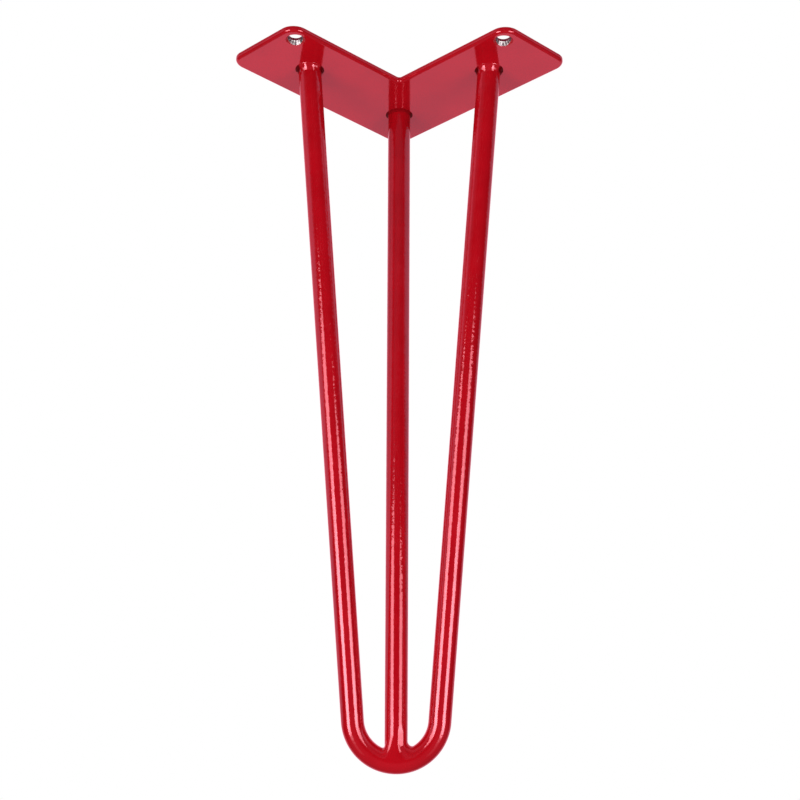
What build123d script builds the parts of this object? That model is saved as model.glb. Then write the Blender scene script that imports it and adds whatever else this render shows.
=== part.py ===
from build123d import *
from math import acos, asin, atan2, cos, hypot, pi, sin, sqrt
import os

# Driving dimensions in millimetres, angles in degrees
leg_height = 350.0
rod_diameter = 12.0
bend_radius = 22.7
foot_reach = 70.0
arm_length = 125.0
arm_width = 49.0
plate_thickness = 3.0
plate_corner_radius = 8.0
notch_radius = 1.5
plate_edge_break = 0.5
seat_pitch = 66.4
screw_hole_diameter = 6.5
countersink_diameter = 10.0
countersink_angle = 90.0
hole_end_inset = 9.0
hole_side_inset = 8.0
plate_weld_leg = 1.8
foot_weld_leg = 2.4
foot_weld_root = 0.2
foot_weld_slices = 9

# Places that follow from the driving dimensions
# Origin: on the mounting face above the corner rod, +Y towards the outer corner, X across the leg
rod_radius = rod_diameter / 2
underside = -plate_thickness
seat_inset = arm_width / 2
arm_seat_offset = seat_pitch / sqrt(2)
across = Vector(1, 0, 0)
corner_seat = Vector(0, 0, underside)
left_seat = Vector(-arm_seat_offset, -arm_seat_offset, underside)
right_seat = Vector(arm_seat_offset, -arm_seat_offset, underside)
foot = Vector(0, foot_reach, rod_radius - leg_height)
hairpin_rise = (left_seat + right_seat) / 2 - foot
corner_rod_rise = corner_seat - foot
upright = (Align.CENTER, Align.CENTER, Align.MIN)

# Working planes: the plate from its outer corner along both arms, the hairpin, and the corner rod
plate_plane = Plane(origin=(0, seat_inset * sqrt(2), 0), x_dir=(-1, -1, 0), z_dir=(0, 0, 1))
hairpin_plane = Plane(origin=foot, x_dir=across, z_dir=across.cross(hairpin_rise))
corner_rod_plane = Plane(origin=foot, x_dir=across, z_dir=across.cross(corner_rod_rise))


# A screw hole, countersunk from below
def screw_hole(along_left_arm, along_right_arm):
    hole = CounterSinkHole(
        radius=screw_hole_diameter / 2,
        counter_sink_radius=countersink_diameter / 2,
        depth=plate_thickness,
        counter_sink_angle=countersink_angle,
    )
    return plate_plane * Pos(along_left_arm, along_right_arm, underside) * Rot(180, 0, 0) * hole


# L-shaped plate: a hole in the inner corner of each arm's end and one behind the corner rod
def make_mounting_plate():
    notch = (arm_width, arm_width)
    outline = Polyline(
        (0, 0),
        (arm_length, 0),
        (arm_length, arm_width),
        notch,
        (arm_width, arm_length),
        (0, arm_length),
        close=True,
    )
    face = make_face(outline)
    face = fillet(face.vertices().sort_by_distance(notch)[1:], plate_corner_radius)
    face = fillet(face.vertices().sort_by_distance(notch)[0], notch_radius)
    plate = extrude(face, amount=-plate_thickness)
    rims = plate.faces().filter_by(Axis.Z).edges()
    plate = plate_plane * chamfer(rims, plate_edge_break)
    along = arm_length - hole_end_inset
    aside = arm_width - hole_side_inset
    behind = seat_inset / 2
    for place in [(along, aside), (aside, along), (behind, behind)]:
        plate -= screw_hole(*place)
    return plate


# A rod's top end is cut level with the underside of the plate
def cut_level(rod):
    return split(rod, bisect_by=Plane.XY.offset(underside), keep=Keep.BOTTOM)


# One bar, bent once: two straight legs tangent to the bend at the foot
def make_hairpin_rod():
    seat = hairpin_plane.to_local_coords(right_seat)
    rise = seat.Y - bend_radius
    touch_angle = atan2(rise, seat.X) - acos(bend_radius / hypot(seat.X, rise))
    touch = Vector(0, bend_radius) + Vector(cos(touch_angle), sin(touch_angle)) * bend_radius
    end = seat + (seat - touch).normalized() * rod_diameter
    left_leg = Line((-end.X, end.Y), (-touch.X, touch.Y))
    bend = ThreePointArc((-touch.X, touch.Y), (0, 0), (touch.X, touch.Y))
    right_leg = Line((touch.X, touch.Y), (end.X, end.Y))
    line = hairpin_plane * Wire([left_leg, bend, right_leg])
    section = Plane(origin=line @ 0, z_dir=line % 0) * Circle(rod_radius)
    return cut_level(sweep(section, path=line))


# Straight rod from the corner seat to the foot, its lower end coped to sit on the bend
def make_corner_rod(hairpin_rod):
    bar = Cylinder(rod_radius, corner_rod_rise.length + rod_diameter, align=upright)
    return cut_level(Plane(origin=foot, z_dir=corner_rod_rise) * bar) - hairpin_rod


# Fillet weld round a rod's top end, against the underside of the plate
def make_plate_weld(rod, seat):
    patch_side = 2 * (rod_diameter + plate_weld_leg)
    patch = Pos(seat) * Box(patch_side, patch_side, plate_thickness, align=upright)
    joint = patch + rod
    seam = joint.edges().filter_by(GeomType.ELLIPSE).sort_by_distance(seat)[0]
    return chamfer(seam, plate_weld_leg) - patch - rod


# Slice of the right foot weld, in the crotch between the corner rod's side and the inside of the bend
def foot_weld_slice(turn):
    half_width = rod_radius * cos(turn)
    leg = foot_weld_leg * cos(turn)
    inside_radius = bend_radius - half_width
    crotch_angle = asin(half_width / inside_radius)
    toe_angle = crotch_angle + leg / inside_radius
    toe_radius = inside_radius + foot_weld_root
    rod_toe = Vector(half_width - foot_weld_root, bend_radius - inside_radius * cos(crotch_angle) + leg)
    bend_toe = Vector(toe_radius * sin(toe_angle), bend_radius - toe_radius * cos(toe_angle))
    outline = Polyline((0, 0), rod_toe, bend_toe, close=True)
    return corner_rod_plane.offset(rod_radius * sin(turn)) * make_face(outline)


# Fillet weld on the right of the foot, thinning out towards the front and the back
def make_foot_weld(hairpin_rod, corner_rod):
    step = pi / (foot_weld_slices + 1)
    turns = [(index + 1) * step - pi / 2 for index in range(foot_weld_slices)]
    blank = loft([foot_weld_slice(turn) for turn in turns])
    return blank - hairpin_rod - corner_rod


hairpin_rod = make_hairpin_rod()
corner_rod = make_corner_rod(hairpin_rod)
right_foot_weld = make_foot_weld(hairpin_rod, corner_rod)
pieces = {
    "mounting_plate": make_mounting_plate(),
    "hairpin_rod": hairpin_rod,
    "corner_rod": corner_rod,
    "left_plate_weld": make_plate_weld(hairpin_rod, left_seat),
    "right_plate_weld": make_plate_weld(hairpin_rod, right_seat),
    "corner_plate_weld": make_plate_weld(corner_rod, corner_seat),
    "left_foot_weld": mirror(right_foot_weld, about=Plane.YZ),
    "right_foot_weld": right_foot_weld,
}
os.makedirs("parts", exist_ok=True)
for name, piece in pieces.items():
    export_step(piece, f"parts/{name}.step")
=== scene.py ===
from math import acos, atan2, cos, degrees, hypot, pi, radians, sin, sqrt

import bmesh
import bpy
from mathutils import Matrix, Vector, noise


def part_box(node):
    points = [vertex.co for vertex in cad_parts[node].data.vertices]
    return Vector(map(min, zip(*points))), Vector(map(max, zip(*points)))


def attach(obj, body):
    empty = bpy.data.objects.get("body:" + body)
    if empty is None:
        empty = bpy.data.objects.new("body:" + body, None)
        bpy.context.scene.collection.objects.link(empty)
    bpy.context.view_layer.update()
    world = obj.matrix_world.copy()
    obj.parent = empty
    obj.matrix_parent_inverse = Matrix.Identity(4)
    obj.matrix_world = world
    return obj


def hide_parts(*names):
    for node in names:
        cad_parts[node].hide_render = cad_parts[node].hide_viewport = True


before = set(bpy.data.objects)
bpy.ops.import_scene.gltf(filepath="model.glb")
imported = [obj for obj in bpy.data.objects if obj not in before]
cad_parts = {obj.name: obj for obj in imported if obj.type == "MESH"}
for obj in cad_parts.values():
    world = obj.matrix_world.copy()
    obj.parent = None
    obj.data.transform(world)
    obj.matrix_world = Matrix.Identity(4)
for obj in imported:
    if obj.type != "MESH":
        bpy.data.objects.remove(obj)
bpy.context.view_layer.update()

scene = bpy.context.scene
scene.view_settings.view_transform = "Standard"
print("frame loaded:", sorted(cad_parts))

# leg: the sizes that every piece shares, in metres
leg = {
    "rodRadius": 0.006,
    "seatPitch": 0.0664,  # along an arm, from the corner rod's seat to the arm rod's seat
    "bendRadius": 0.0227,
    "footReach": 0.070,
}
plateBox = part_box("mounting_plate")
topside, underside = plateBox[1].z, plateBox[0].z
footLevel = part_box("hairpin_rod")[0].z
armSeat = leg["seatPitch"] / sqrt(2)
cornerSeat = Vector((0, 0, underside))
leftSeat = Vector((-armSeat, -armSeat, underside))
rightSeat = Vector((armSeat, -armSeat, underside))
footCentre = Vector((0, leg["footReach"], footLevel + leg["rodRadius"]))

# the hairpin's plane, its bend, and the turn at which its legs leave the bend
across = Vector((1, 0, 0))
skyward = Vector((0, 0, 1))
hairpinUp = ((leftSeat + rightSeat) / 2 - footCentre).normalized()
hairpinFace = across.cross(hairpinUp)
bendCentre = footCentre + hairpinUp * leg["bendRadius"]
seatUp = (leftSeat - footCentre).dot(hairpinUp) - leg["bendRadius"]
touchTurn = atan2(seatUp, armSeat) - acos(leg["bendRadius"] / hypot(armSeat, seatUp))

# the way up along each rod
leftUp = hairpinUp * cos(touchTurn) + across * sin(touchTurn)
rightUp = hairpinUp * cos(touchTurn) - across * sin(touchTurn)
cornerUp = (cornerSeat - footCentre).normalized()
cornerFront = across.cross(cornerUp)


# shader helpers

def feed(tree, socket, value):
    if isinstance(value, bpy.types.NodeSocket):
        tree.links.new(value, socket)
    else:
        socket.default_value = value


def addNode(tree, kind, **inputs):
    node = tree.nodes.new(kind)
    for name, value in inputs.items():
        feed(tree, node.inputs[name], value)
    return node


def mathNode(tree, operation, *values):
    node = tree.nodes.new("ShaderNodeMath")
    node.operation = operation
    for socket, value in zip(node.inputs, values):
        feed(tree, socket, value)
    return node.outputs[0]


def vectorMath(tree, operation, first, second):
    node = tree.nodes.new("ShaderNodeVectorMath")
    node.operation = operation
    feed(tree, node.inputs[0], first)
    feed(tree, node.inputs[1], second)
    return node.outputs["Value"]


# one operation over any number of values
def chain(tree, operation, first, *others):
    for other in others:
        first = mathNode(tree, operation, first, other)
    return first


def times(tree, *values):
    return chain(tree, "MULTIPLY", *values)


def plus(tree, *values):
    return chain(tree, "ADD", *values)


# smooth step from one range of values to another
def mapRange(tree, value, source, target=(0.0, 1.0)):
    node = addNode(tree, "ShaderNodeMapRange", Value=value)
    node.interpolation_type = "SMOOTHSTEP"
    for name, setting in zip(("From Min", "From Max", "To Min", "To Max"), (*source, *target)):
        node.inputs[name].default_value = setting
    return node.outputs["Result"]


def mixColour(tree, share, first, second):
    node = tree.nodes.new("ShaderNodeMix")
    node.data_type = "RGBA"
    for name, value in (("Factor", share), ("A", first), ("B", second)):
        feed(tree, node.inputs[name], value)
    return node.outputs["Result"]


def noiseNode(tree, place, scale, detail, roughness=0.5):
    node = addNode(tree, "ShaderNodeTexNoise", Vector=place, Scale=scale, Detail=detail, Roughness=roughness)
    return node.outputs["Fac"]


def objectPlace(tree):
    place = tree.nodes.new("ShaderNodeTexCoord").outputs["Object"]
    return place, addNode(tree, "ShaderNodeSeparateXYZ", Vector=place).outputs


def newMaterial(name):
    material = bpy.data.materials.new(name)
    material.use_nodes = True
    tree = material.node_tree
    return material, tree, tree.nodes["Principled BSDF"]


# bump from a height in metres
def addBump(tree, shader, height):
    bump = addNode(tree, "ShaderNodeBump", Strength=1.0, Distance=1.0, Height=height)
    feed(tree, shader.inputs["Normal"], bump.outputs["Normal"])


# the powder coat's own surface, as a height in metres: orange peel, slow waves and a few nibs
coatSurface = {
    "peel": (620.0, 1.5),  # each noise's scale and detail, and for the haze its roughness
    "wave": (130.0, 1.0),
    "cloud": (45.0, 3.0),
    "haze": (210.0, 4.0, 0.6),
    "nibScale": 330.0,
    "nibRadius": 0.16,
    "nibPick": (0.72, 0.78),  # a cell has a nib where its own random value is above this
    "calmLevel": (-0.29, -0.20),
    "calm": (0.4, 1.0),  # the peel lies flatter towards the foot
}
noiseSpread = (0.3, 0.7)  # most of a noise's values lie between these


def makeCoatGroup():
    group = bpy.data.node_groups.new("powderCoatSurface", "ShaderNodeTree")
    for name in ("Peel Height", "Wave Height", "Nib Height"):
        group.interface.new_socket(name, in_out="INPUT", socket_type="NodeSocketFloat")
    for name in ("Height", "Cloud", "Haze"):
        group.interface.new_socket(name, in_out="OUTPUT", socket_type="NodeSocketFloat")
    inside = group.nodes.new("NodeGroupInput").outputs
    outside = group.nodes.new("NodeGroupOutput").inputs
    place, axes = objectPlace(group)
    calm = mapRange(group, axes["Z"], coatSurface["calmLevel"], coatSurface["calm"])
    peel = times(group, noiseNode(group, place, *coatSurface["peel"]), inside["Peel Height"], calm)
    wave = times(group, noiseNode(group, place, *coatSurface["wave"]), inside["Wave Height"])
    cells = addNode(group, "ShaderNodeTexVoronoi", Vector=place, Scale=coatSurface["nibScale"],
                    Randomness=1.0)
    pick = addNode(group, "ShaderNodeSeparateColor", Color=cells.outputs["Color"])
    chosen = mapRange(group, pick.outputs[0], coatSurface["nibPick"])
    nibShape = mapRange(group, cells.outputs["Distance"], (coatSurface["nibRadius"], 0.0))
    nib = times(group, nibShape, chosen, inside["Nib Height"])
    feed(group, outside["Height"], plus(group, peel, wave, nib))
    feed(group, outside["Cloud"], noiseNode(group, place, *coatSurface["cloud"]))
    feed(group, outside["Haze"], noiseNode(group, place, *coatSurface["haze"]))
    return group


coatGroup = makeCoatGroup()

# one coat for rods and plate, with painted shade on the welds: a darker, duller colour in their pits and
# round the corner rod's seat
coat = {
    "deep": (0.378, 0.0022, 0.0066, 1),
    "light": (0.426, 0.0030, 0.0086, 1),
    # painted shade: the dark colour laid in the welds' pits and round the corner rod's seat
    "paintedShade": (0.095, 0.0003, 0.0010, 1),
    "rough": (0.045, 0.10),
    # the painted-shade coat's roughness and gloss, kept dull so that it stays dark
    "paintedShadeRough": (0.40, 0.60),
    "gloss": 0.5,
    "paintedShadeGloss": 0.012,
    "ior": 2.35,
    "mirrorTint": (1.0, 0.36, 0.43, 1),
    "rodHeights": (75e-6, 130e-6, 22e-6),  # of the peel, the waves and the nibs
    "plateHeights": (10e-6, 30e-6, 8e-6),
    "weldHeights": (20e-6, 60e-6, 20e-6),
}


def makeRedCoat(name, heights, roughness=coat["rough"], gloss=coat["gloss"]):
    material, tree, shader = newMaterial(name)
    shader.inputs["IOR"].default_value = coat["ior"]
    shader.inputs["Specular Tint"].default_value = coat["mirrorTint"]
    shader.inputs["Specular IOR Level"].default_value = gloss
    surface = tree.nodes.new("ShaderNodeGroup")
    surface.node_tree = coatGroup
    for label, height in zip(("Peel Height", "Wave Height", "Nib Height"), heights):
        surface.inputs[label].default_value = height
    cloud = mapRange(tree, surface.outputs["Cloud"], noiseSpread)
    full = mixColour(tree, cloud, coat["deep"], coat["light"])
    # painted shade on the welds, mixed in towards the dark colour
    paintedShade = tree.nodes.new("ShaderNodeAttribute")  # only the welds carry it, elsewhere it reads 0
    paintedShade.attribute_name = "paintedShade"
    feed(tree, shader.inputs["Base Color"], mixColour(tree, paintedShade.outputs["Fac"], full, coat["paintedShade"]))
    feed(tree, shader.inputs["Roughness"], mapRange(tree, surface.outputs["Haze"], noiseSpread, roughness))
    addBump(tree, shader, surface.outputs["Height"])
    return material


rodCoat = makeRedCoat("redCoatRods", coat["rodHeights"])
plateCoat = makeRedCoat("redCoatPlate", coat["plateHeights"])
weldCoat = makeRedCoat("redCoatWelds", coat["weldHeights"])
# painted shade: a dark, dull coat for the deepest parts of the welds
paintedShadeCoat = makeRedCoat("redCoatPaintedShade", coat["weldHeights"], coat["paintedShadeRough"], coat["paintedShadeGloss"])
print("coats mixed")

# screw holes: bare steel with the drill's chatter, the coat reaching in over the sides of each countersink
hole = {
    "bareAcross": 0.0039,
    "bareAlong": 0.0052,
    "coatEdge": (1.25, 1.05),  # the coat ends between these, as shares of the bare oval's area
    "ragged": 0.3,
    "steelDark": (0.12, 0.07, 0.09, 1),
    "steelLight": (0.62, 0.59, 0.58, 1),
    "rough": (0.24, 0.42),
    "grain": (900.0, 3.0),
    "chatter": 11.0,
    "chatterHeight": 60e-6,
    # the straight bore's coat, darkened as painted shade
    "boreCoatShaded": (0.16, 0.002, 0.02, 1),
    "boreEdge": 0.0001,
}


def makeHoleFinish(armHole, cornerHole, sinkTop):
    material, tree, shader = newMaterial("bareSteelHoles")
    place, (x, y, z) = objectPlace(tree)
    # the nearest hole's centre, both arms' holes folded onto one
    atCorner = mathNode(tree, "GREATER_THAN", y, (armHole.y + cornerHole.y) / 2)
    atArm = mathNode(tree, "SUBTRACT", 1.0, atCorner)
    centreX = times(tree, atArm, armHole.x)
    centreY = plus(tree, times(tree, atArm, armHole.y), times(tree, atCorner, cornerHole.y))
    fromX = mathNode(tree, "SUBTRACT", mathNode(tree, "ABSOLUTE", x), centreX)
    fromY = mathNode(tree, "SUBTRACT", y, centreY)
    grain = noiseNode(tree, place, *hole["grain"])
    chatter = mathNode(tree, "SINE", times(tree, mathNode(tree, "ARCTAN2", fromY, fromX), hole["chatter"]))
    addBump(tree, shader, times(tree, plus(tree, chatter, grain), hole["chatterHeight"]))
    # bare within an oval, coat outside it, and in the straight bore a darker coat colour as painted shade
    shareX = mathNode(tree, "POWER", mathNode(tree, "DIVIDE", fromX, hole["bareAcross"]), 2.0)
    shareY = mathNode(tree, "POWER", mathNode(tree, "DIVIDE", fromY, hole["bareAlong"]), 2.0)
    reach = plus(tree, shareX, shareY, times(tree, grain, hole["ragged"]))
    bare = mapRange(tree, reach, hole["coatEdge"])
    inBore = mapRange(tree, z, (sinkTop - hole["boreEdge"], sinkTop + hole["boreEdge"]))
    inSink = mathNode(tree, "SUBTRACT", 1.0, inBore)
    steel = mixColour(tree, mapRange(tree, grain, noiseSpread), hole["steelDark"], hole["steelLight"])
    sink = mixColour(tree, bare, coat["deep"], steel)
    feed(tree, shader.inputs["Base Color"], mixColour(tree, inBore, sink, hole["boreCoatShaded"]))
    feed(tree, shader.inputs["Metallic"], times(tree, bare, inSink))
    feed(tree, shader.inputs["Roughness"], mapRange(tree, grain, noiseSpread, hole["rough"]))
    return material


# mesh helpers
mergeDistance = 1e-7


def closeMesh(bm):
    bmesh.ops.remove_doubles(bm, verts=bm.verts, dist=mergeDistance)
    bmesh.ops.recalc_face_normals(bm, faces=bm.faces)


def addObject(bm, name, materials):
    mesh = bpy.data.meshes.new(name)
    bm.to_mesh(mesh)
    bm.free()
    for material in materials:
        mesh.materials.append(material)
    item = bpy.data.objects.new(name, mesh)
    scene.collection.objects.link(item)
    return item


def finishPiece(bm, name, materials, nodes, sharpAngle=35.0):
    closeMesh(bm)
    for face in bm.faces:
        face.smooth = True
    for edge in bm.edges:
        edge.smooth = edge.calc_face_angle(0.0) <= radians(sharpAngle)
    piece = addObject(bm, name, materials)
    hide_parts(*nodes)
    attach(piece, "root")
    print("made", name, len(piece.data.polygons), "faces")
    return piece


def pickVerts(geom):
    return [item for item in geom if isinstance(item, bmesh.types.BMVert)]


def pickEdges(geom):
    return [item for item in geom if isinstance(item, bmesh.types.BMEdge)]


def ringVerts(ring):
    return list({vert for edge in ring for vert in edge.verts})


# ring of edges square to a direction
def addRing(bm, centre, direction, segments):
    turn = direction.to_track_quat("Z", "Y").to_matrix().to_4x4()
    made = bmesh.ops.create_circle(bm, cap_ends=False, radius=leg["rodRadius"], segments=segments,
                                   matrix=Matrix.Translation(centre) @ turn)
    return list({edge for vert in made["verts"] for edge in vert.link_edges})


def extrudeRing(bm, ring, move):
    made = bmesh.ops.extrude_edge_only(bm, edges=ring)["geom"]
    bmesh.ops.translate(bm, verts=pickVerts(made), vec=move)
    return [edge for edge in pickEdges(made) if edge.is_boundary]


def runRing(bm, ring, move, steps):
    for _ in range(steps):
        ring = extrudeRing(bm, ring, move / steps)
    return ring


# a rod's top is cut level with the plate's underside and closed
def cutUnderPlate(bm):
    whole = list(bm.verts) + list(bm.edges) + list(bm.faces)
    bmesh.ops.bisect_plane(bm, geom=whole, plane_co=(0, 0, underside), plane_no=skyward, clear_outer=True)
    bmesh.ops.holes_fill(bm, edges=[edge for edge in bm.edges if edge.is_boundary], sides=0)


def roundEdges(bm, edges, radius, segments):
    bmesh.ops.bevel(bm, geom=edges, offset=radius, segments=segments, profile=0.5, affect="EDGES",
                    material=-1)


# mounting plate
plate = {
    "armLength": 0.125,
    "armWidth": 0.049,
    "cornerRadius": 0.008,
    "cornerSegments": 14,
    "notchRadius": 0.0015,
    "notchSegments": 6,
    "upperRound": 0.0005,
    "lowerRound": 0.0017,
    "edgeSegments": 8,
    "holeRadius": 0.00325,
    "sinkRadius": 0.005,
    "holeSegments": 64,
    "endInset": 0.009,
    "sideInset": 0.008,
    "overcut": 0.001,
    "flatWeight": 100,
}
thickness = topside - underside
outerCorner = Vector((0, plate["armWidth"] / sqrt(2), topside))


def platePoint(alongLeft, alongRight):
    return outerCorner + Vector((alongRight - alongLeft, -alongLeft - alongRight, 0)) / sqrt(2)


notchPoint = platePoint(plate["armWidth"], plate["armWidth"])
holeAlong = plate["armLength"] - plate["endInset"]
holeAside = plate["armWidth"] - plate["sideInset"]
holeBehind = plate["armWidth"] / 4  # halfway from the outer corner to the corner rod
leftHole = platePoint(holeAlong, holeAside)
rightHole = platePoint(holeAside, holeAlong)
cornerHole = platePoint(holeBehind, holeBehind)
sinkDepth = plate["sinkRadius"] - plate["holeRadius"]
bareSteel = makeHoleFinish(rightHole, cornerHole, underside + sinkDepth)


def addHoleCutter(bm, centre):
    over = plate["overcut"]
    profile = [
        (0, over),
        (plate["holeRadius"], over),
        (plate["holeRadius"], sinkDepth - thickness),
        (plate["sinkRadius"] + over, -thickness - over),
        (0, -thickness - over),
    ]
    verts = [bm.verts.new(centre + Vector((out, 0, up))) for out, up in profile]
    edges = [bm.edges.new(pair) for pair in zip(verts, verts[1:])]
    bmesh.ops.spin(bm, geom=verts + edges, cent=centre, axis=skyward, angle=2 * pi,
                   steps=plate["holeSegments"], use_merge=True)


def uprightEdges(bm, atNotch):
    edges = [edge for edge in bm.edges if abs(edge.verts[0].co.z - edge.verts[1].co.z) > thickness / 2]
    return [edge for edge in edges if ((edge.verts[0].co - notchPoint).xy.length < mergeDistance) == atNotch]


# holes are cut with an exact boolean, then the result is a plain mesh again
def drill(blank, cutter):
    objects = []
    for bm, slotIndex in ((blank, 0), (cutter, 1)):
        closeMesh(bm)
        for face in bm.faces:
            face.material_index = slotIndex
        objects.append(addObject(bm, "drillStep", (plateCoat, bareSteel)))
    body, tool = objects
    cut = body.modifiers.new("holes", "BOOLEAN")
    cut.operation, cut.solver, cut.object = "DIFFERENCE", "EXACT", tool
    drilled = body.evaluated_get(bpy.context.evaluated_depsgraph_get())
    bm = bmesh.new()
    bm.from_mesh(drilled.to_mesh())
    drilled.to_mesh_clear()
    for item in objects:
        bpy.data.objects.remove(item)
    return bm


def levelEdges(bm, level):
    return [edge for edge in bm.edges if all(abs(vert.co.z - level) < mergeDistance for vert in edge.verts)]


def makePlate():
    long, wide = plate["armLength"], plate["armWidth"]
    corners = [(0, 0), (long, 0), (long, wide), (wide, wide), (wide, long), (0, long)]
    bm = bmesh.new()
    face = bm.faces.new([bm.verts.new(platePoint(*corner)) for corner in corners])
    lower = bmesh.ops.extrude_face_region(bm, geom=[face])["geom"]
    bmesh.ops.translate(bm, verts=pickVerts(lower), vec=(0, 0, -thickness))
    roundEdges(bm, uprightEdges(bm, False), plate["cornerRadius"], plate["cornerSegments"])
    roundEdges(bm, uprightEdges(bm, True), plate["notchRadius"], plate["notchSegments"])
    for level, size in ((topside, plate["upperRound"]), (underside, plate["lowerRound"])):
        roundEdges(bm, levelEdges(bm, level), size, plate["edgeSegments"])
    cutter = bmesh.new()
    for point in (leftHole, rightHole, cornerHole):
        addHoleCutter(cutter, point)
    piece = finishPiece(drill(bm, cutter), "mountingPlate", (plateCoat, bareSteel), ["mounting_plate"])
    # the broad faces stay true mirrors up to their rims
    flat = piece.modifiers.new("flatFaces", "WEIGHTED_NORMAL")
    flat.weight, flat.keep_sharp = plate["flatWeight"], True


makePlate()

# hairpin rod: ring, straight leg, bend, straight leg
hairpin = {"segments": 72, "bendSteps": 96, "legSteps": 24}


def makeHairpin():
    touchOut = across * cos(touchTurn) * leg["bendRadius"]
    touchUp = hairpinUp * sin(touchTurn) * leg["bendRadius"]
    leftTouch, rightTouch = bendCentre - touchOut + touchUp, bendCentre + touchOut + touchUp
    spare = leg["rodRadius"]  # beyond the seats, cut off again under the plate
    start, stop = leftSeat + leftUp * spare, rightSeat + rightUp * spare
    bm = bmesh.new()
    ring = addRing(bm, start, -leftUp, hairpin["segments"])
    ring = runRing(bm, ring, leftTouch - start, hairpin["legSteps"])
    made = bmesh.ops.spin(bm, geom=ringVerts(ring) + ring, cent=bendCentre, axis=hairpinFace,
                          angle=pi + 2 * touchTurn, steps=hairpin["bendSteps"])
    runRing(bm, pickEdges(made["geom_last"]), stop - rightTouch, hairpin["legSteps"])
    cutUnderPlate(bm)
    finishPiece(bm, "hairpinRod", [rodCoat], ["hairpin_rod"])


makeHairpin()

# corner rod: straight, its foot blended into the bend by welds that are ground flush
cornerRod = {
    "segments": 120,
    "legSteps": 30,
    "nearFoot": 0.060,  # from here down the rings are close together
    "nearSteps": 45,
    "clearOfBend": 0.015,
    "facetTurn": 65.0,  # in degrees, 0 at the rod's right and 90 in front
    "facetDepth": 0.00020,
    "facetTop": 0.020,
    "unevenness": 0.00006,
    "unevenScale": 160.0,
}
footWeld = {
    # where it starts: turn round the rod in degrees, 0 at its right and 90 in front, and height up the rod
    "starts": (
        (-90, 0.0090), (0, 0.0107), (68, 0.0090), (90, 0.0112), (112, 0.0142), (180, 0.0089), (270, 0.0090),
    ),
    "rightReach": 33.4,  # how far it runs along the bend, in degrees
    "leftReach": 27.3,
    "wrap": 105.0,  # and round the bend's section
    "startPull": 0.25,
    "frontPull": 0.10,
    "endPull": 0.20,
    "slopeStep": 0.01,
    "steps": 18,
    "skin": 0.00004,
    "sinkPower": 8,  # the skin holds for most of the way and sinks into the bend near its end
}


def smooth(share):
    share = min(max(share, 0.0), 1.0)
    return share * share * (3 - 2 * share)


# distance of a point from the bend's surface, and the way out of it
def bendDistance(point):
    away = point - bendCentre
    inPlane = away - hairpinFace * away.dot(hairpinFace)
    onLine = bendCentre + inPlane.normalized() * leg["bendRadius"]
    out = point - onLine
    return out.length - leg["rodRadius"], out.normalized()


# rod's surface near the foot: one ground facet, slightly uneven
def rodPoint(turn, height):
    out = across * cos(turn) + cornerFront * sin(turn)
    facetTurn = radians(cornerRod["facetTurn"])
    facetOut = across * cos(facetTurn) + cornerFront * sin(facetTurn)
    fade = smooth((cornerRod["facetTop"] - height) / (cornerRod["facetTop"] - cornerRod["clearOfBend"]))
    over = leg["rodRadius"] * (cos(turn - facetTurn) - 1) + cornerRod["facetDepth"] * fade
    point = footCentre + out * leg["rodRadius"] + cornerUp * height - facetOut * max(over, 0.0)
    lump = noise.noise(point * cornerRod["unevenScale"]) * cornerRod["unevenness"]
    return point + out * lump * smooth(1 - height / cornerRod["nearFoot"])


def weldStart(turn):
    starts = footWeld["starts"]
    for (low, first), (high, last) in zip(starts, starts[1:]):
        if degrees(turn) <= high:
            return first + (last - first) * smooth((degrees(turn) - low) / (high - low))
    return starts[-1][1]


# a point on the bend: along it by the first angle, round its section by the second
def bendPoint(along, around):
    outward = across * sin(along) - hairpinUp * cos(along)
    reach = leg["bendRadius"] - leg["rodRadius"] * sin(around)
    return bendCentre + outward * reach + hairpinFace * leg["rodRadius"] * cos(around)


# where the weld runs out on the bend
def weldRunout(turn, share):
    reach = footWeld["rightReach"] if cos(turn) > 0 else footWeld["leftReach"]
    along = radians(reach) * cos(turn) * share
    return bendPoint(along, pi / 2 - radians(footWeld["wrap"]) * sin(turn) * share)


# the weld's surface: a curve from the rod to the run-out, kept just proud of the bend until its end
def blendPoint(turn, share):
    start, end = rodPoint(turn, weldStart(turn)), weldRunout(turn, 1.0)
    slope = (end - weldRunout(turn, 1 - footWeld["slopeStep"])) / footWeld["slopeStep"]
    front = max(sin(turn), 0.0) ** 2
    pull = footWeld["startPull"] * (1 - front) + footWeld["frontPull"] * front
    first = start - cornerUp * (end - start).length * pull
    last = end - slope * footWeld["endPull"]
    rest = 1 - share
    point = start * rest ** 3 + end * share ** 3
    point += first * 3 * rest ** 2 * share + last * 3 * rest * share ** 2
    gap, out = bendDistance(point)
    skin = footWeld["skin"] * (1 - 2 * share ** footWeld["sinkPower"])
    return point + out * max(skin - gap, 0.0) if share < 1 else point - out * footWeld["skin"]


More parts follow.
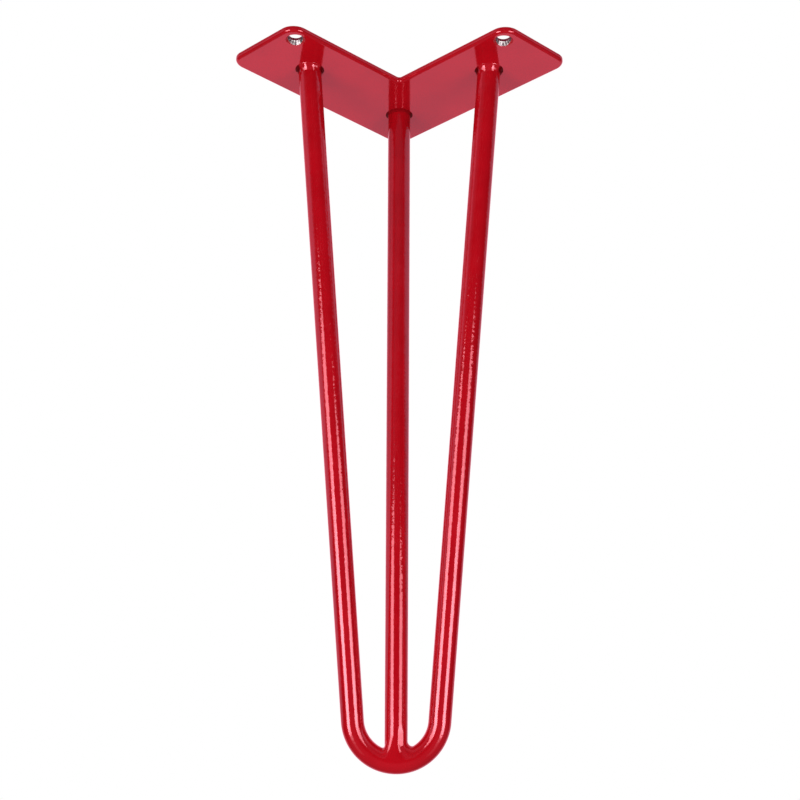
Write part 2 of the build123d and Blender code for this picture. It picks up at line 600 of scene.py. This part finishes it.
def makeCornerRod():
    bm = bmesh.new()
    turnLayer = bm.verts.layers.float.new("turn")
    start = cornerSeat + cornerUp * leg["rodRadius"]
    near = footCentre + cornerUp * cornerRod["nearFoot"]
    stop = footCentre + cornerUp * cornerRod["clearOfBend"]
    ring = addRing(bm, start, -cornerUp, cornerRod["segments"])
    for vert in bm.verts:
        out = vert.co - start
        turn = atan2(out.dot(cornerFront), out.dot(across))
        vert[turnLayer] = turn if turn > -pi / 2 else turn + 2 * pi
    ring = runRing(bm, ring, near - start, cornerRod["legSteps"])
    for _ in range(cornerRod["nearSteps"]):
        ring = extrudeRing(bm, ring, (stop - near) / cornerRod["nearSteps"])
        for vert in ringVerts(ring):
            vert.co = rodPoint(vert[turnLayer], (vert.co - footCentre).dot(cornerUp))
    for step in range(footWeld["steps"] + 1):
        ring = extrudeRing(bm, ring, Vector())
        for vert in ringVerts(ring):
            vert.co = blendPoint(vert[turnLayer], step / footWeld["steps"])
    ring = extrudeRing(bm, ring, Vector())
    bmesh.ops.pointmerge(bm, verts=ringVerts(ring), merge_co=footCentre)
    cutUnderPlate(bm)
    finishPiece(bm, "cornerRod", [rodCoat], ["corner_rod", "left_foot_weld", "right_foot_weld"])


makeCornerRod()

# welds round the rods' top ends: a hollow bead, spun, rippled and leaned with its rod
plateWeld = {
    "arm": {
        "plateLeg": 0.0015,
        "rodLeg": 0.0030,
        "lump": 0.00030,
        "ripple": 0.00006,
        "pits": 1.0,
        "paintedShade": 0.0,
    },
    "corner": {
        "plateLeg": 0.0013,
        "rodLeg": 0.0012,
        "lump": 0.00008,
        "ripple": 0.00002,
        "pits": 0.25,
        # painted shade all round the corner rod's seat
        "paintedShade": 0.58,
    },
    "seed": {"left": 8.0, "right": 17.0, "corner": 23.0},
    "turn": {"left": 24.9, "right": -24.9, "corner": 0.0},  # of the lumps round the rod, in degrees
    "hollow": 0.45,
    "sunk": 0.0003,
    "profileSteps": 12,
    "spinSteps": 168,
    "sharpAngle": 60.0,
    "lumpScale": 220.0,
    "ripples": 11,
    "slant": 700.0,
    "pitStart": (0.58, 0.84),  # towards the middle of the leg, and away from it
    "pitDepth": 0.00045,
    "paintedShadeInPits": 2.0,
    "paintedShadeRise": 3.0,  # full from a third of the way out to the toe
    "paintedShadeFrom": 0.5,  # from here on a face takes the dark, dull painted-shade coat
}


def weldProfile(weld):
    radius, steps = leg["rodRadius"], plateWeld["profileSteps"]
    plateToe = Vector((radius + weld["plateLeg"], 0, 0))
    rodToe = Vector((radius, 0, -weld["rodLeg"]))
    chord = (plateToe + rodToe) / 2
    hollow = chord + (Vector((radius, 0, 0)) - chord) * plateWeld["hollow"]
    points = [plateToe + skyward * plateWeld["sunk"]]
    for step in range(steps + 1):
        share = step / steps
        points.append(plateToe * (1 - share) ** 2 + hollow * 2 * share * (1 - share) + rodToe * share ** 2)
    inner = radius - plateWeld["sunk"]
    points.append(Vector((inner, 0, -weld["rodLeg"])))
    points.append(Vector((inner, 0, plateWeld["sunk"])))
    return points


# lumps and slanted ripples on the bead, a pit where it starts and stops, and painted shade laid in the pits
# and, on the corner bead, all over
def lumpWeld(bm, weld, inward, seed):
    paintedShadeLayer = bm.verts.layers.float.new("paintedShade")
    radius = leg["rodRadius"]
    for vert in bm.verts:
        out = hypot(vert.co.x, vert.co.y)
        vert[paintedShadeLayer] = weld["paintedShade"]
        if out <= radius or vert.co.z > 0:
            continue
        share = min((out - radius) / weld["plateLeg"], 1.0)  # 0 on the rod, 1 at the toe on the plate
        bulge = 4 * share * (1 - share)
        turn = atan2(vert.co.y, vert.co.x)
        lump = noise.noise(vert.co * plateWeld["lumpScale"] + across * seed) * weld["lump"]
        ripple = sin(turn * plateWeld["ripples"] + vert.co.z * plateWeld["slant"] + seed) * weld["ripple"]
        pitStart = plateWeld["pitStart"][0 if sin(turn) * inward > 0 else 1]
        endShare = max((abs(sin(turn)) - pitStart) / (1 - pitStart), 0.0) * weld["pits"]
        away = Vector((vert.co.x, vert.co.y, -out)).normalized()
        vert.co += away * (lump + ripple - endShare * plateWeld["pitDepth"]) * bulge
        # painted shade in the pits, full from a third of the way out to the toe
        pitShade = plateWeld["paintedShadeInPits"] * endShare * min(plateWeld["paintedShadeRise"] * share, 1.0)
        vert[paintedShadeLayer] = min(weld["paintedShade"] + pitShade, 1.0)
    for face in bm.faces:
        # faces deep in painted shade take the dark, dull coat
        paintedShade = sum(vert[paintedShadeLayer] for vert in face.verts) / len(face.verts)
        face.material_index = 1 if paintedShade > plateWeld["paintedShadeFrom"] else 0


# leans the upright bead so that its bore follows the rod and its face stays on the plate
def leanWeld(bm, seat, rodUp):
    lean = Vector((rodUp.x, rodUp.y, 0)).normalized()
    side = skyward.cross(lean)
    columns = (lean / rodUp.z, side, rodUp / rodUp.z, seat)
    matrix = Matrix([list(row) for row in zip(*columns)]).to_4x4()
    bmesh.ops.transform(bm, matrix=matrix, verts=bm.verts)


def makePlateWeld(place, seat, rodUp, weld):
    bm = bmesh.new()
    verts = [bm.verts.new(point) for point in weldProfile(weld)]
    edges = [bm.edges.new(pair) for pair in zip(verts, verts[1:] + verts[:1])]
    bmesh.ops.spin(bm, geom=verts + edges, cent=(0, 0, 0), axis=skyward, angle=2 * pi,
                   steps=plateWeld["spinSteps"], use_merge=True)
    bmesh.ops.remove_doubles(bm, verts=bm.verts, dist=mergeDistance)
    lumpWeld(bm, weld, -seat.x, plateWeld["seed"][place])
    turn = Matrix.Rotation(radians(plateWeld["turn"][place]), 3, "Z")
    bmesh.ops.rotate(bm, verts=bm.verts, cent=(0, 0, 0), matrix=turn)
    leanWeld(bm, seat, rodUp)
    finishes = [weldCoat, paintedShadeCoat]
    finishPiece(bm, place + "PlateWeld", finishes, [place + "_plate_weld"], plateWeld["sharpAngle"])


makePlateWeld("left", leftSeat, leftUp, plateWeld["arm"])
makePlateWeld("right", rightSeat, rightUp, plateWeld["arm"])
makePlateWeld("corner", cornerSeat, cornerUp, plateWeld["corner"])

# camera, placed as the photograph was taken
camera = {
    "place": (0.00118, -0.91995, -0.5245),
    "pitch": 21.071,
    "roll": 0.276,
    "lens": 86.04,
    "sensor": 36.0,
    "clip": (0.01, 50.0),
}


def makeCamera():
    data = bpy.data.cameras.new("camera")
    data.lens, data.sensor_width = camera["lens"], camera["sensor"]
    data.clip_start, data.clip_end = camera["clip"]
    item = bpy.data.objects.new("camera", data)
    scene.collection.objects.link(item)
    tilt = Matrix.Rotation(radians(90 + camera["pitch"]), 4, "X")
    roll = Matrix.Rotation(radians(camera["roll"]), 4, "Z")
    item.matrix_world = Matrix.Translation(camera["place"]) @ tilt @ roll
    scene.camera = item


makeCamera()
pitch = radians(camera["pitch"])
viewBack = Vector((0, -cos(pitch), -sin(pitch)))
viewUp = Vector((0, -sin(pitch), cos(pitch)))
print("camera placed")

# two tall softboxes beside the camera, dimmer towards their tops, feet and sides
softboxes = {
    "left": {"azimuth": -48.5, "top": -0.247, "radiance": 7.7},
    "right": {"azimuth": 47.5, "top": -0.286, "radiance": 7.0},
    "bottom": -1.19,
    "width": 0.50,
    "distance": 0.667,
    # brightness up the box, from its foot to its top
    "fall": (
        (0.0, 0.02), (0.30, 0.04), (0.41, 0.22), (0.52, 1.0), (0.66, 1.0),
        (0.72, 0.93), (0.78, 0.79), (0.82, 0.62), (0.87, 0.50), (1.0, 0.40),
    ),
    "core": 0.22,  # evenly bright this far to each side of the middle, then falling off to the rim
    "rim": 0.0,
}
middle = Vector((0, 0, footLevel / 2))
# lamps that light the coat but don't show in its gloss
lamps = {
    "overheadSoftbox": {
        "place": (0.0, 0.55, 1.1),
        "aim": middle,
        "up": Vector((0, 1, 0)),
        "size": 0.9,
        "radiance": 4.0,
    },
    "fillLamp": {
        "place": (0.0, -0.44, -0.13),
        "aim": cornerSeat,
        "up": viewUp,
        "size": 0.30,
        "radiance": 1.45,
    },
    "backLamp": {
        "place": (0.0, 1.1, 0.15),
        "aim": middle,
        "up": skyward,
        "size": 0.4,
        "radiance": 13.0,
    },
}


def makeLamp(name, place, aim, up, width, height, radiance):
    data = bpy.data.lights.new(name, "AREA")
    data.shape, data.size, data.size_y = "RECTANGLE", width, height
    data.energy = radiance * pi * width * height  # watts
    item = bpy.data.objects.new(name, data)
    scene.collection.objects.link(item)
    away = (place - aim).normalized()
    side = up.cross(away).normalized()
    turn = Matrix((side, away.cross(side), away)).transposed().to_4x4()
    item.matrix_world = Matrix.Translation(place) @ turn
    item.visible_camera = False
    return item


def shapeGlow(data):
    data.use_nodes = True
    tree = data.node_tree
    parametric = tree.nodes.new("ShaderNodeNewGeometry").outputs["Parametric"]
    split = addNode(tree, "ShaderNodeSeparateXYZ", Vector=parametric)
    ramp = addNode(tree, "ShaderNodeValToRGB", Fac=split.outputs["Y"])
    stops = ramp.color_ramp.elements
    for index, (place, level) in enumerate(softboxes["fall"]):
        stop = stops[index] if index < 2 else stops.new(place)
        stop.position, stop.color = place, (level, level, level, 1)
    aside = mathNode(tree, "ABSOLUTE", mathNode(tree, "SUBTRACT", split.outputs["X"], 0.5))
    glow = mapRange(tree, aside, (softboxes["core"], 0.5), (1.0, softboxes["rim"]))
    feed(tree, tree.nodes["Emission"].inputs["Strength"], times(tree, glow, ramp.outputs["Color"]))


for side in ("left", "right"):
    box = softboxes[side]
    turn = radians(box["azimuth"])
    aim = Vector((0, 0, (box["top"] + softboxes["bottom"]) / 2))
    place = aim + Vector((sin(turn), -cos(turn), 0)) * softboxes["distance"]
    tall = box["top"] - softboxes["bottom"]
    lamp = makeLamp(side + "Softbox", place, aim, skyward, softboxes["width"], tall, box["radiance"])
    shapeGlow(lamp.data)
for name, box in lamps.items():
    place, size = Vector(box["place"]), box["size"]
    lamp = makeLamp(name, place, box["aim"], box["up"], size, size, box["radiance"])
    lamp.visible_glossy = False
print("lamps placed")

# white surroundings behind the leg, a dark room on the camera's side
room = {
    "white": (1, 1, 1, 1),
    "wallTint": (1.68, 0.87, 1.11, 1),
    "sideTint": (0.70, 0.87, 1.11, 1),
    # what the gloss mirrors
    "wall": 0.56,
    "upperWall": 0.42,
    "frontWall": 0.12,
    "dark": 0.008,
    "floorGlow": 0.09,
    # what lights the coat's own colour
    "fill": (0.55, 0.30),  # from the camera's side, and from behind
    "fillTilt": (0.68, 1.32),  # times this from below, and from above
    "sideTilt": (1.04, 0.52),  # times this from the left, and from the right
    "floorFill": 0.24,
    # where each of these starts and ends: up from the skyline, towards the camera, or to the right
    "skyline": (-0.12, 0, 1),
    "wallFoot": (-0.08, 0.09),
    "wallTop": (0.48, 0.14),
    "frontFade": (0.55, 0.15),
    "behindFade": (-0.30, -0.58),
    "backdropFade": (-0.70, -0.95),
    "floorFade": (-0.20, -0.55),
    "fillFade": (0.5, -0.5),
    "tiltFade": (-0.35, 0.35),
    "sideFade": (-0.7, 0.7),
    "floorFillFade": (0.1, -0.5),
    "sideTintFoot": (-0.10, 0.0),
    "sideTintTop": (0.32, 0.12),
    "sideTintBack": (-0.75, -0.5),
}


def makeWorld():
    world = bpy.data.worlds.new("studio")
    world.use_nodes = True
    scene.world = world
    tree = world.node_tree
    background = tree.nodes["Background"]
    direction = tree.nodes.new("ShaderNodeTexCoord").outputs["Generated"]
    facing = vectorMath(tree, "DOT_PRODUCT", direction, viewBack)
    height = vectorMath(tree, "DOT_PRODUCT", direction, Vector(room["skyline"]).normalized())
    sideways = vectorMath(tree, "DOT_PRODUCT", direction, across)

    wallTop = mapRange(tree, height, room["wallTop"], (room["upperWall"], 1.0))
    wallLevel = mapRange(tree, facing, room["frontFade"], (room["frontWall"], room["wall"]))
    wall = times(tree, mapRange(tree, height, room["wallFoot"]), wallTop, wallLevel)
    behind = mapRange(tree, facing, room["behindFade"], (0.0, room["wall"]))
    backdrop = mapRange(tree, facing, room["backdropFade"])
    lowGlow = mapRange(tree, height, room["floorFade"], (room["dark"], room["floorGlow"]))
    mirrored = chain(tree, "MAXIMUM", wall, behind, backdrop, lowGlow)

    fill = mapRange(tree, facing, room["fillFade"], room["fill"])
    fillTilt = mapRange(tree, height, room["tiltFade"], room["fillTilt"])
    sideTilt = mapRange(tree, sideways, room["sideFade"], room["sideTilt"])
    floorFill = mapRange(tree, height, room["floorFillFade"], (0.0, room["floorFill"]))
    around = plus(tree, times(tree, fill, fillTilt, sideTilt), floorFill)

    path = tree.nodes.new("ShaderNodeLightPath").outputs
    seen = plus(tree, path["Is Camera Ray"], path["Is Transmission Ray"])
    glossy = times(tree, path["Is Glossy Ray"], mirrored)
    diffuse = times(tree, path["Is Diffuse Ray"], around)
    feed(tree, background.inputs["Strength"], plus(tree, seen, glossy, diffuse))

    tintFoot = mapRange(tree, height, room["sideTintFoot"])
    tintTop = mapRange(tree, height, room["sideTintTop"])
    beside = times(tree, tintFoot, tintTop, mapRange(tree, facing, room["sideTintBack"]))
    tint = mixColour(tree, beside, room["wallTint"], room["sideTint"])
    feed(tree, background.inputs["Color"], mixColour(tree, path["Is Glossy Ray"], room["white"], tint))


makeWorld()

# pale floor under the foot, seen from above only and fading into the white round it
floor = {
    "radius": 0.42,
    "plain": 0.10,  # whole up to here, then fading
    "segments": 96,
    "below": 0.0002,
    "tone": (0.80, 0.80, 0.81, 1),
    "rough": 0.7,
    "gloss": 0.0,
    "glow": 0.10,
    "glowTone": (1, 1, 1, 1),
}
floorCentre = Vector((0, leg["footReach"], footLevel - floor["below"]))


def makeFloorFinish():
    material, tree, shader = newMaterial("paleFloor")
    shader.inputs["Base Color"].default_value = floor["tone"]
    shader.inputs["Roughness"].default_value = floor["rough"]
    shader.inputs["Specular IOR Level"].default_value = floor["gloss"]
    shader.inputs["Emission Color"].default_value = floor["glowTone"]
    shader.inputs["Emission Strength"].default_value = floor["glow"]
    place = tree.nodes.new("ShaderNodeTexCoord").outputs["Object"]
    reach = vectorMath(tree, "DISTANCE", place, floorCentre)
    near = mapRange(tree, reach, (floor["radius"], floor["plain"]))
    seen = tree.nodes.new("ShaderNodeLightPath").outputs["Is Camera Ray"]
    under = tree.nodes.new("ShaderNodeNewGeometry").outputs["Backfacing"]
    shown = times(tree, seen, mathNode(tree, "SUBTRACT", 1.0, under), near)
    mix = addNode(tree, "ShaderNodeMixShader", Fac=shown)
    feed(tree, mix.inputs[1], tree.nodes.new("ShaderNodeBsdfTransparent").outputs[0])
    feed(tree, mix.inputs[2], shader.outputs[0])
    feed(tree, tree.nodes["Material Output"].inputs["Surface"], mix.outputs[0])
    return material


def makeFloor():
    bm = bmesh.new()
    bmesh.ops.create_circle(bm, cap_ends=True, radius=floor["radius"], segments=floor["segments"],
                            matrix=Matrix.Translation(floorCentre))
    addObject(bm, "floor", [makeFloorFinish()])


makeFloor()
print("room and floor made")
